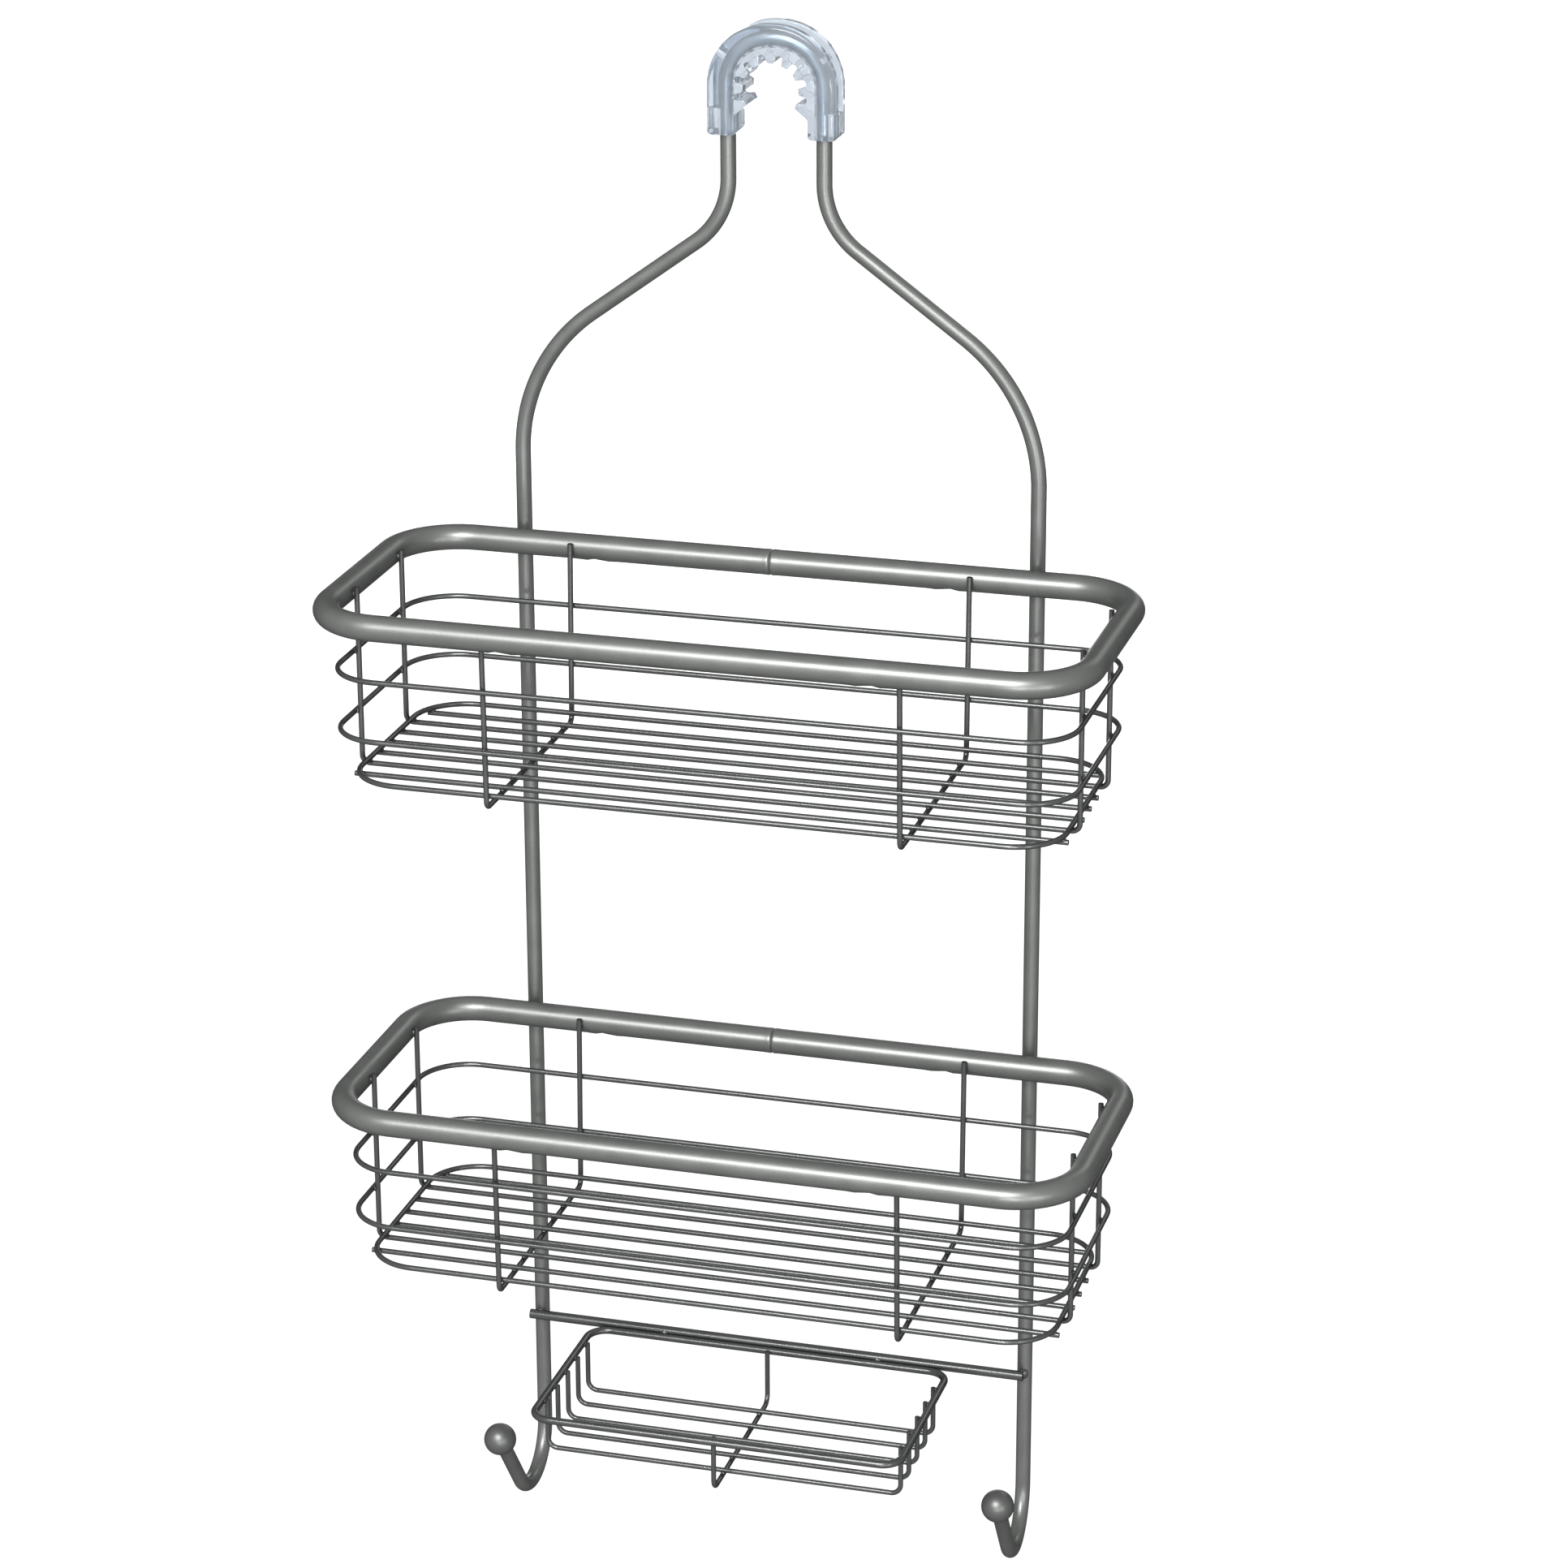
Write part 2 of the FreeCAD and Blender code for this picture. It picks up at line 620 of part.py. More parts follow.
sizes_sheet = add_sheet("Sizes", SIZES)
add_sheet("Places", {name: f"={linked(formula)}" for name, formula in PLACES.items()})
doc.recompute()

hook_grip(rod_hook())
for side, sign in (("left", "-"), ("right", "")):
    rod_shoulder(side, sign)
    rod_upright(side, f"{sign}upright_x")
    hook_ball(side, f"{sign}upright_x", rod_foot(side, f"{sign}upright_x"))
crossbar()
basket("upper", "-upper_drop")
basket("lower", "-lower_drop")
soap_dish()

doc.recompute()
check_document()
export_nodes()
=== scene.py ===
"""Looks for the hanging shower caddy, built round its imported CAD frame. Metres, +Z up."""
import math
import random

import bmesh
import bpy
from mathutils import Matrix, Vector


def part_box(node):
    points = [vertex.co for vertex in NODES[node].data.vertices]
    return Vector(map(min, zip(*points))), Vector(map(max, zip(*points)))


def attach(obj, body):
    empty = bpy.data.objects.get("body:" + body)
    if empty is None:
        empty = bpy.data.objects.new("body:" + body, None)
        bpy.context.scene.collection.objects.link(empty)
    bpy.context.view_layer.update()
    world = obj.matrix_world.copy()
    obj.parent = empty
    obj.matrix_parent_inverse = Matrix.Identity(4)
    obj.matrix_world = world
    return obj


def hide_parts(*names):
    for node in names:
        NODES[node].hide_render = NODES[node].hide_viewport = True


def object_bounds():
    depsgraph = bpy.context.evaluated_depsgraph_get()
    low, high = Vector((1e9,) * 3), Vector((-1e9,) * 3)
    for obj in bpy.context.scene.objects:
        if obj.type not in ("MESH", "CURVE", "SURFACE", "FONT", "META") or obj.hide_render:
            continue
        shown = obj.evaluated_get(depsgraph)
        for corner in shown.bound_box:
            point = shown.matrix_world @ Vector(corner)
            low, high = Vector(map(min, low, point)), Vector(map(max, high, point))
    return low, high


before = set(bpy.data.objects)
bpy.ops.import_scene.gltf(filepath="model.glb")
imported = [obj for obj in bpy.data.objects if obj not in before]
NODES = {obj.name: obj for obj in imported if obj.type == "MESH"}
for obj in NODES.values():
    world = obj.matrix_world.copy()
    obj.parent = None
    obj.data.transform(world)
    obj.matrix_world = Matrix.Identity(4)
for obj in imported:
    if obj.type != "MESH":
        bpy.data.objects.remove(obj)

MM = 0.001
CAD_LOW, CAD_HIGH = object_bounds()
ROD = (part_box("rod_upright_right")[1].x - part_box("rod_upright_right")[0].x) / 2
UPRIGHT_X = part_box("rod_upright_right")[1].x - ROD
NECK_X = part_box("rod_hook")[1].x - ROD

# Sizes that the frame's boxes don't give by themselves: bends, levels of the rod's corners
# under the arm's axis, and the grip.
RIM_BEND = 26 * MM
RING_BEND = 20 * MM
NECK_DROP, NECK_BEND = 50.7 * MM, 31 * MM
SHOULDER_DROP, SHOULDER_BEND = 111.5 * MM, 70 * MM
FOOT_DROP, FOOT_BEND = 565 * MM, 19 * MM
FOOT_RISE = math.radians(52)
ARM_RADIUS = 10.65 * MM
GRIP_CORNER = 2.0 * MM
GRIP_INNER_CORNER = 0.8 * MM
GRIP_END_ROUND = 1.3 * MM
GRIP_INSIDE = 4.5 * MM
GRIP_BAND = 9.5 * MM
GRIP_VOXEL = 0.25 * MM
CHANNEL_PLAY = 0.14 * MM
SLOT_WIDTH = 6.2 * MM
BRIDGE_ANGLE = math.radians(32)
BRIDGE_HALF_WIDTH = 1.2 * MM
BRIDGE_SINK = 0.9 * MM
TOOTH_COUNT, TOOTH_PITCH = 9, math.radians(29)
TOOTH_SETBACK = 0.15 * MM
WEDGE_RISE = 7.4 * MM

# Welds: the collar where a rod enters its ball, and the larger nuggets.
COLLAR_LENGTH, COLLAR_SWELL = 1.1 * MM, 1.12
UPRIGHT_WELD, CROSSBAR_WELD, DISH_WELD = 2.6 * MM, 2.2 * MM, 1.6 * MM
RIM_WELD_SWELL = 1.25

# One tooth's edge: shares of the pitch from its middle, and of the height from root to tip.
TOOTH_EDGE = [(-0.5, 0.0), (-0.43, 0.02), (-0.37, 0.08), (-0.325, 0.20), (-0.31, 0.35),
              (-0.275, 0.62), (-0.25, 0.85), (-0.225, 0.95), (-0.18, 1.0), (0.0, 1.0),
              (0.18, 1.0), (0.225, 0.95), (0.25, 0.85), (0.275, 0.62), (0.31, 0.35),
              (0.325, 0.20), (0.37, 0.08), (0.43, 0.02)]

# The rim's rear butt seam: a groove with a pressed lip on each side of it.
SEAM_STATIONS = [x * MM for x in (0, 0.12, 0.3, 0.5, 0.9, 1.6, 2.6)]
SEAM_END = 4 * MM
SEAM_DEPTH = 0.45 * MM
SEAM_WIDTH = 0.28 * MM
SEAM_SWELL = 0.10 * MM
LIP_PLACE, LIP_WIDTH = 1.1 * MM, 0.8 * MM

# The nicks that the welding jig presses under the rim beside each rib.
PRESS_DEPTH = 0.60 * MM
PRESS_WIDTH = 2.2 * MM
PRESS_OFFSET = 9 * MM

# How finely the round shapes are divided.
CORNER_TURNS = 14
RIM_SIDES, ROD_SIDES, BALL_SIDES = 48, 40, 48
ARC_STEPS = 32
RIM_FRONT_STEP, RIM_SIDE_STEP = 3 * MM, 4 * MM

# Paints: tone and roughness. The grip's vinyl darkens the rod, so the rod is painted much
# lighter inside it: painted light for the rod's bright look through the vinyl.
PAINTS = {"rod_powder_coat": ((0.200, 0.207, 0.200), 0.40),
          "rim_powder_coat": ((0.205, 0.212, 0.205), 0.39),
          "wire_powder_coat": ((0.115, 0.119, 0.117), 0.28),
          "ball_powder_coat": ((0.150, 0.154, 0.150), 0.44),
          "rod_under_grip_painted_light": ((0.60, 0.605, 0.59), 0.38)}
PAINT_NOISE = {"mottle": 90, "flake": 5200, "peel": 900}
VINYL_NOISE = {"cloud": 160, "grain": 1400}
VINYL_TINTS = ((0.50, 0.555, 0.62), (0.60, 0.655, 0.72))

# Camera: direction from the caddy, roll, distance to the point it looks at, and lens.
CAMERA = {"azimuth": 15.99, "elevation": 20.26, "roll": -0.18,
          "distance": 1.8187, "lens": 109.84}
LOOK_AT = Vector((0.0137, -0.0400, -0.2587))

# Softboxes: azimuth, elevation, distance, width, height and power. Those behind the caddy
# light its edges, and aren't seen through the clear grip.
SOFTBOXES = {"key_softbox": (-2, 34, 2.6, 1.2, 0.8, 74),
             "low_softbox": (13, -3, 2.6, 0.7, 0.3, 16),
             "side_softbox": (45, 0, 2.4, 0.4, 0.7, 10),
             "back_softbox": (192, -4, 2.6, 1.4, 0.7, 30),
             "top_softbox": (165, 26, 2.6, 0.8, 0.5, 4)}
BEHIND = ("back_softbox", "top_softbox")
ROOM_LEVELS = {"floor to ceiling": (0.68, 0.95), "front to back": (1.0, 0.42)}
BACKDROP_REACH, DOME_RADIUS, FLOOR_GAP = 12.0, 11.5, 0.25

BASKETS = ("upper", "lower")
FLOOR_WIRES = 7
LONG_RIB_ROWS = {2: "long_rib_rear", 6: "long_rib_front"}
DISH_WIRES = 5
DISH_TIE = 45 * MM
SIDES = {"left": -1, "right": 1}
X, Y, Z = Vector((1, 0, 0)), Vector((0, 1, 0)), Vector((0, 0, 1))


# --- node materials ----------------------------------------------------------------------

def new_material(name):
    """A material with its output and Principled shader, ready for more nodes."""
    material = bpy.data.materials.new(name)
    material.use_nodes = True
    tree = material.node_tree
    shader = next(node for node in tree.nodes if node.type == "BSDF_PRINCIPLED")
    return material, tree, shader


def add_noise(tree, scale, detail=3.0, roughness=0.55):
    """A noise texture in the object's own coordinates; scale is in patches per metre."""
    place = tree.nodes.new("ShaderNodeTexCoord")
    noise = tree.nodes.new("ShaderNodeTexNoise")
    noise.inputs["Scale"].default_value = scale
    noise.inputs["Detail"].default_value = detail
    noise.inputs["Roughness"].default_value = roughness
    tree.links.new(place.outputs["Object"], noise.inputs["Vector"])
    return noise.outputs["Fac"]


def add_ramp(tree, factor, low, high, start=0.3, stop=0.7):
    """A colour ramp between two colours."""
    ramp = tree.nodes.new("ShaderNodeValToRGB")
    ramp.color_ramp.elements[0].position = start
    ramp.color_ramp.elements[0].color = (*low, 1)
    ramp.color_ramp.elements[1].position = stop
    ramp.color_ramp.elements[1].color = (*high, 1)
    tree.links.new(factor, ramp.inputs["Fac"])
    return ramp.outputs["Color"]


def add_span(tree, factor, source, target):
    """Maps one range of values onto another, held at its ends."""
    span = tree.nodes.new("ShaderNodeMapRange")
    span.inputs["From Min"].default_value, span.inputs["From Max"].default_value = source
    span.inputs["To Min"].default_value, span.inputs["To Max"].default_value = target
    tree.links.new(factor, span.inputs["Value"])
    return span.outputs["Result"]


def add_range(tree, factor, low, high):
    """Maps a texture's middle range onto low to high."""
    return add_span(tree, factor, (0.3, 0.7), (low, high))


def add_bump(tree, height, strength, distance, under=None):
    """A bump of a height texture, laid over another bump where one is given."""
    bump = tree.nodes.new("ShaderNodeBump")
    bump.inputs["Strength"].default_value = strength
    bump.inputs["Distance"].default_value = distance
    tree.links.new(height, bump.inputs["Height"])
    if under is not None:
        tree.links.new(under, bump.inputs["Normal"])
    return bump.outputs["Normal"]


def paint(name, tone, roughness):
    """Satin metallic grey powder coat: fine metal flake, orange peel and slight mottling."""
    material, tree, shader = new_material(name)
    link = tree.links.new
    mottle = add_noise(tree, PAINT_NOISE["mottle"], 4)
    flake = add_noise(tree, PAINT_NOISE["flake"], 1.5, 0.7)
    dark = tuple(channel * 0.95 for channel in tone)
    light = tuple(channel * 1.05 for channel in tone)
    base = add_ramp(tree, mottle, dark, light)
    sparkle = add_ramp(tree, flake, (0.90,) * 3, (1.10,) * 3, 0.35, 0.65)
    mix = tree.nodes.new("ShaderNodeMix")
    mix.data_type = "RGBA"
    mix.blend_type = "MULTIPLY"
    mix.inputs["Factor"].default_value = 1.0
    link(base, mix.inputs["A"])
    link(sparkle, mix.inputs["B"])
    link(mix.outputs["Result"], shader.inputs["Base Color"])
    link(add_range(tree, mottle, roughness - 0.03, roughness + 0.04), shader.inputs["Roughness"])
    shader.inputs["Metallic"].default_value = 0.85
    shader.inputs["Specular Tint"].default_value = (0.28, 0.28, 0.28, 1)
    grain = add_bump(tree, flake, 0.05, 0.03 * MM)
    peel = add_noise(tree, PAINT_NOISE["peel"], 2)
    link(add_bump(tree, peel, 0.16, 0.12 * MM, grain), shader.inputs["Normal"])
    return material


def vinyl(name):
    """Clear, faintly blue soft vinyl with a frosted skin and cloudy streaks."""
    material, tree, shader = new_material(name)
    link = tree.links.new
    cloud = add_noise(tree, VINYL_NOISE["cloud"], 4)
    link(add_ramp(tree, cloud, *VINYL_TINTS), shader.inputs["Base Color"])
    link(add_range(tree, cloud, 0.06, 0.13), shader.inputs["Roughness"])
    shader.inputs["Transmission Weight"].default_value = 0.91
    shader.inputs["IOR"].default_value = 1.40
    shader.inputs["Specular IOR Level"].default_value = 0.2
    grain = add_bump(tree, add_noise(tree, VINYL_NOISE["grain"], 2), 0.15, 0.10 * MM)
    link(grain, shader.inputs["Normal"])
    return material


def backdrop_paint():
    """White that glows evenly, with a trace of unevenness, for the floor and the dome."""
    material, tree, shader = new_material("backdrop_white")
    tone = add_ramp(tree, add_noise(tree, 3, 2), (0.10,) * 3, (0.12,) * 3)
    tree.links.new(tone, shader.inputs["Base Color"])
    shader.inputs["Roughness"].default_value = 0.9
    shader.inputs["Emission Color"].default_value = (1, 1, 1, 1)
    shader.inputs["Emission Strength"].default_value = 0.97
    return material


# --- mesh building -----------------------------------------------------------------------

def finish_piece(mesh_data, name, material, replaces=()):
    """Makes a bmesh into a painted piece on the frame, smooth but for its sharp edges."""
    bmesh.ops.recalc_face_normals(mesh_data, faces=mesh_data.faces)
    for face in mesh_data.faces:
        face.smooth = True
    for edge in mesh_data.edges:
        if len(edge.link_faces) == 2 and edge.calc_face_angle() > math.radians(38):
            edge.smooth = False
    mesh = bpy.data.meshes.new(name)
    mesh_data.to_mesh(mesh)
    mesh_data.free()
    piece = bpy.data.objects.new(name, mesh)
    bpy.context.scene.collection.objects.link(piece)
    mesh.materials.append(material)
    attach(piece, "root")
    if replaces:
        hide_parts(*replaces)
    return piece


def rounded_corners(half_x, half_y, bend):
    """Points with their outward directions round each corner of a rounded rectangle."""
    corners = []
    for corner, (sx, sy) in enumerate(((1, 1), (1, -1), (-1, -1), (-1, 1))):
        centre = Vector((sx * (half_x - bend), sy * (half_y - bend), 0))
        start = math.radians(90 - 90 * corner)
        points = []
        for turn in range(CORNER_TURNS + 1):
            angle = start - math.radians(90) * turn / CORNER_TURNS
            out = Vector((math.cos(angle), math.sin(angle), 0))
            points.append((centre + out * bend, out))
        corners.append(points)
    return corners


def spaced(low, high, step):
    """Evenly spaced numbers from low to high, about a step apart."""
    count = max(1, round(abs(high - low) / step))
    return [low + (high - low) * index / count for index in range(count + 1)]


def rim_path(half_x, half_y, bend):
    """The rim's centreline from one side of its rear seam to the other."""
    run_x, run_y = half_x - bend, half_y - bend
    rear_right, front_right, front_left, rear_left = rounded_corners(half_x, half_y, bend)
    path = [(Vector((x, half_y, 0)), Y) for x in SEAM_STATIONS]
    path += [(Vector((x, half_y, 0)), Y) for x in spaced(SEAM_END, run_x, RIM_FRONT_STEP)[:-1]]
    path += rear_right
    path += [(Vector((half_x, y, 0)), X) for y in spaced(run_y, -run_y, RIM_SIDE_STEP)[1:-1]]
    path += front_right
    path += [(Vector((x, -half_y, 0)), -Y) for x in spaced(run_x, -run_x, RIM_FRONT_STEP)[1:-1]]
    path += front_left
    path += [(Vector((-half_x, y, 0)), -X) for y in spaced(-run_y, run_y, RIM_SIDE_STEP)[1:-1]]
    path += rear_left
    path += [(Vector((x, half_y, 0)), Y) for x in spaced(-run_x, -SEAM_END, RIM_FRONT_STEP)[1:]]
    path += [(Vector((-x, half_y, 0)), Y) for x in reversed(SEAM_STATIONS[1:])]
    return path


def seam_profile(x):
    """How far the butt joint's groove and its pressed lips move the tube's skin."""
    groove = -SEAM_DEPTH * math.exp(-(x / SEAM_WIDTH) ** 2)
    lips = SEAM_SWELL * math.exp(-((abs(x) - LIP_PLACE) / LIP_WIDTH) ** 2)
    return groove + lips


def press_mark(x, marks, down):
    """A nick with a raised lip, pressed under the tube by the welding jig beside each rib."""
    move = 0.0
    for mark in marks:
        away = (x - mark) / PRESS_WIDTH
        move += math.exp(-away ** 2) - 0.45 * math.exp(-((abs(away) - 2.0) / 0.8) ** 2)
    return PRESS_DEPTH * move * max(0.0, down) ** 3


def basket_rim(name, material):
    """The rim tube with its rear butt seam and the jig's press marks under it."""
    low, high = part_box(f"{name}_rim")
    centre = (low + high) / 2
    radius = (high.z - low.z) / 2
    half_x = (high.x - low.x) / 2 - radius
    half_y = (high.y - low.y) / 2 - radius
    ribs = [sum(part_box(f"{name}_cross_rib_{side}"), Vector()).x / 2 for side in SIDES]
    marks = [x - math.copysign(PRESS_OFFSET, x) for x in ribs]
    rim = bmesh.new()
    loops = []
    for point, out in rim_path(half_x, half_y, RIM_BEND):
        swell = seam_profile(point.x) if point.y > half_y - MM else 0.0
        loop = []
        for index in range(RIM_SIDES):
            angle = 2 * math.pi * index / RIM_SIDES
            reach = radius + swell
            if abs(out.y) > 0.99:
                reach -= press_mark(point.x, marks, -math.sin(angle))
            place = centre + point + out * math.cos(angle) * reach
            place.z += math.sin(angle) * reach
            loop.append(rim.verts.new(place))
        loops.append(loop)
    join_loops(rim, loops, closed=True)
    return finish_piece(rim, f"{name}_rim_tube", material, [f"{name}_rim"])


def join_loops(mesh_data, loops, closed=False):
    """Quads between neighbouring loops of vertices."""
    pairs = list(zip(loops, loops[1:]))
    if closed:
        pairs.append((loops[-1], loops[0]))
    for first, second in pairs:
        for index in range(len(first)):
            ahead = (index + 1) % len(first)
            mesh_data.faces.new((first[index], first[ahead], second[ahead], second[index]))


def bent_path(corners, step=3 * MM):
    """Points along straight runs with rounded corners; corners are (point, bend radius)."""
    points = [Vector(corners[0][0])]
    for before, (corner, bend), after in zip(corners, corners[1:], corners[2:]):
        corner = Vector(corner)
        way_in = (Vector(before[0]) - corner).normalized()
        way_out = (Vector(after[0]) - corner).normalized()
        half = way_in.angle(way_out) / 2
        length = bend / math.tan(half)
        centre = corner + (way_in + way_out).normalized() * bend / math.sin(half)
        start = corner + way_in * length
        points += straight(points[-1], start, step)
        spoke = start - centre
        axis = way_in.cross(way_out).normalized()
        sweep = -(math.pi - 2 * half)
        turns = max(4, round(abs(sweep) * bend / (1.2 * MM)))
        points += [centre + Matrix.Rotation(sweep * turn / turns, 3, axis) @ spoke
                   for turn in range(1, turns + 1)]
    return points + straight(points[-1], Vector(corners[-1][0]), step)


def straight(start, finish, step):
    """Points after the start of a straight run, its finish included."""
    count = max(1, round((finish - start).length / step))
    return [start.lerp(finish, index / count) for index in range(1, count + 1)]


def path_frames(points):
    """Two directions across the path at each point, carried along without twist."""
    tangents = []
    for index in range(len(points)):
        before = points[max(0, index - 1)]
        after = points[min(len(points) - 1, index + 1)]
        tangents.append((after - before).normalized())
    side = tangents[0].orthogonal().normalized()
    if abs(tangents[0].y) < 0.5:
        side = tangents[0].cross(Vector((0, 1, 0))).normalized()
    frames = []
    for index, tangent in enumerate(tangents):
        if index:
            side = tangents[index - 1].rotation_difference(tangent) @ side
        side = (side - tangent * side.dot(tangent)).normalized()
        frames.append((side, tangent.cross(side)))
    return frames


def round_ends(stations, points, radius):
    """Swaps the end stations for a few that draw the outline in, so that the ends are rounded."""
    turns = [math.radians(18 * step) for step in range(6)]
    for end, inner in ((0, 1), (-1, -2)):
        way = (points[inner] - points[end]).normalized()
        frame_there = stations[end][1]
        caps = [(points[end] + way * radius * (1 - math.cos(turn)), frame_there,
                 radius * (1 - math.sin(turn))) for turn in turns]
        if end:
            stations[-1:] = reversed(caps)
        else:
            stations[:1] = caps


def sweep_outline(mesh_data, points, outline, end_radius=0.0):
    """Sweeps a closed outline along points, with flat or rounded ends."""
    stations = [(place, across, 0.0) for place, across in zip(points, path_frames(points))]
    if end_radius:
        round_ends(stations, points, end_radius)
    loops = []
    for place, (side, up), inset in stations:
        loops.append([mesh_data.verts.new(place + side * (u - math.copysign(inset, u))
                                          + up * (v - math.copysign(inset, v)))
                      for u, v in outline])
    join_loops(mesh_data, loops)
    mesh_data.faces.new(list(reversed(loops[0])))
    mesh_data.faces.new(loops[-1])


def circle_outline(radius, sides):
    """A circle as an outline to sweep."""
    return [(radius * math.cos(2 * math.pi * index / sides),
             radius * math.sin(2 * math.pi * index / sides)) for index in range(sides)]


def ball_centre(side):
    """The middle of a ball: a radius behind its frontmost point."""
    low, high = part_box(f"hook_ball_{side}")
    radius = (high.z - low.z) / 2
    return Vector(((low.x + high.x) / 2, low.y + radius, (low.z + high.z) / 2))


def foot_corner(side):
    """Where the upright's line meets the line of its hook's rising end."""
    turn = FOOT_BEND * math.tan((math.pi / 2 + FOOT_RISE) / 2)
    return Vector((SIDES[side] * UPRIGHT_X, 0, -FOOT_DROP - turn))


def bent_rod(material, painted_light_in_grip):
    """The one bent rod from ball to ball, with painted light inside the grip: a lighter paint."""
    corners = []
    for side, sign in SIDES.items():
        half = [(ball_centre(side), 0), (foot_corner(side), FOOT_BEND),
                ((sign * UPRIGHT_X, 0, -SHOULDER_DROP), SHOULDER_BEND),
                ((sign * NECK_X, 0, -NECK_DROP), NECK_BEND),
                ((sign * NECK_X, 0, NECK_X), NECK_X - MM)]
        corners.extend(half if sign < 0 else reversed(half))
    rod = bmesh.new()
    sweep_outline(rod, bent_path(corners), circle_outline(ROD, ROD_SIDES))
    piece = finish_piece(rod, "bent_rod", material,
                         [name for name in NODES if name.startswith("rod_")])
    piece.data.materials.append(painted_light_in_grip)
    # Faces inside the grip take the lighter paint: painted light.
    grip_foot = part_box("hook_grip")[0].z
    for face in piece.data.polygons:
        if face.center.z > grip_foot:
            face.material_index = 1
    return piece


# --- balls -------------------------------------------------------------------------------

def hook_ball(side, material):
    """A ball revolved about its rod's line, with a weld collar where the rod goes in."""
    low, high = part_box(f"hook_ball_{side}")
    centre = ball_centre(side)
    radius = (high.z - low.z) / 2
    axis = (foot_corner(side) - centre).normalized()
    profile = []
    neck = math.asin(ROD * COLLAR_SWELL / radius)
    for step in range(ARC_STEPS + 1):
        angle = math.pi - (math.pi - neck) * step / ARC_STEPS
        profile.append((radius * math.cos(angle), radius * math.sin(angle)))
    foot = profile[-1]
    for step in range(1, 6):
        share = step / 5
        profile.append((foot[0] + COLLAR_LENGTH * share,
                        foot[1] - (foot[1] - ROD) * (1 - (1 - share) ** 2)))
    across = axis.orthogonal().normalized()
    up = axis.cross(across)
    ball = bmesh.new()
    pole = ball.verts.new(centre + axis * profile[0][0])
    loops = []
    for along, reach in profile[1:]:
        angles = [2 * math.pi * index / BALL_SIDES for index in range(BALL_SIDES)]
        loops.append([ball.verts.new(centre + axis * along + across * math.cos(angle) * reach
                                     + up * math.sin(angle) * reach) for angle in angles])
    for index in range(BALL_SIDES):
        ball.faces.new((pole, loops[0][(index + 1) % BALL_SIDES], loops[0][index]))
    join_loops(ball, loops)
    ball.faces.new(loops[-1])
    return finish_piece(ball, f"hook_ball_{side}_turned", material,
                        [f"hook_ball_{side}"])


# --- grip --------------------------------------------------------------------------------

def scratch_object(mesh_data, name):
    """A closed working shape for the booleans."""
    bmesh.ops.recalc_face_normals(mesh_data, faces=mesh_data.faces)
    mesh = bpy.data.meshes.new(name)
    mesh_data.to_mesh(mesh)
    mesh_data.free()
    item = bpy.data.objects.new(name, mesh)
    bpy.context.scene.collection.objects.link(item)
    return item


def combine(base, other, operation):
    """Applies a boolean to base and deletes the other shape."""
    cut = base.modifiers.new(operation, "BOOLEAN")
    cut.operation = operation
    cut.solver = "EXACT"
    cut.object = other
    apply_modifiers(base)
    bpy.data.objects.remove(other)


def apply_modifiers(item):
    """Turns an object's modifiers into its mesh."""
    graph = bpy.context.evaluated_depsgraph_get()
    graph.update()
    mesh = bpy.data.meshes.new_from_object(item.evaluated_get(graph))
    item.modifiers.clear()
    item.data = mesh


def hoop_path(leg):
    """The grip's line: up one leg, round the hook and down the other; leg is the ends' Z."""
    bend = NECK_X - MM
    return bent_path([((-NECK_X, 0, leg), 0), ((-NECK_X, 0, NECK_X), bend),
                      ((NECK_X, 0, NECK_X), bend), ((NECK_X, 0, leg), 0)], 1.5 * MM)


def block_outline(inner, outer, half_depth, corner_in, corner_out):
    """A rounded block: u runs from the hoop's inside to its outside, v across its depth."""
    outline = []
    for u, v, bend, start in ((outer, half_depth, corner_out, 0),
                              (inner, half_depth, corner_in, 90),
                              (inner, -half_depth, corner_in, 180),
                              (outer, -half_depth, corner_out, 270)):
        centre = (u - math.copysign(bend, u), v - math.copysign(bend, v))
        for turn in range(7):
            angle = math.radians(start + 90 * turn / 6)
            outline.append((centre[0] + bend * math.cos(angle),
                            centre[1] + bend * math.sin(angle)))
    return outline


def comb_outline(root, tip, behind, wedge):
    """The teeth's edge in the hoop's plane, closed behind them, with a wedge under each end."""
    points = []
    first = math.pi / 2 - TOOTH_PITCH * (TOOTH_COUNT - 1) / 2
    for tooth in range(TOOTH_COUNT):
        for share, reach in TOOTH_EDGE:
            if (tooth == 0 and share < -0.2) or (tooth == TOOTH_COUNT - 1 and share > 0.2):
                continue
            radius = root + (tip - root) * reach
            angle = first + (tooth + share) * TOOTH_PITCH
            points.append((radius * math.cos(angle), radius * math.sin(angle)))
    points.append((-root - 0.3 * MM, wedge))
    points.append((-behind, wedge))
    for step in range(ARC_STEPS + 1):
        angle = math.pi * (1 - step / ARC_STEPS)
        points.append((behind * math.cos(angle), behind * math.sin(angle)))
    points.append((behind, wedge))
    points.append((root + 0.3 * MM, wedge))
    return points


def extruded(outline, half_depth):
    """A plate of an (x, z) outline, half_depth thick each side of the hoop's plane."""
    plate = bmesh.new()
    loops = [[plate.verts.new((x, y, z)) for x, z in outline] for y in (-half_depth, half_depth)]
    join_loops(plate, loops)
    plate.faces.new(list(reversed(loops[0])))
    plate.faces.new(loops[1])
    return plate


def spoke_block(angle, inner, outer, half_width, half_depth):
    """A block that crosses the grip's slot at an angle round the hook."""
    out = Vector((math.cos(angle), 0, math.sin(angle)))
    across = Vector((-math.sin(angle), 0, math.cos(angle)))
    outline = [out * radius + across * side for radius, side in
               ((inner, -half_width), (outer, -half_width), (outer, half_width),
                (inner, half_width))]
    return extruded([(point.x, point.z) for point in outline], half_depth)


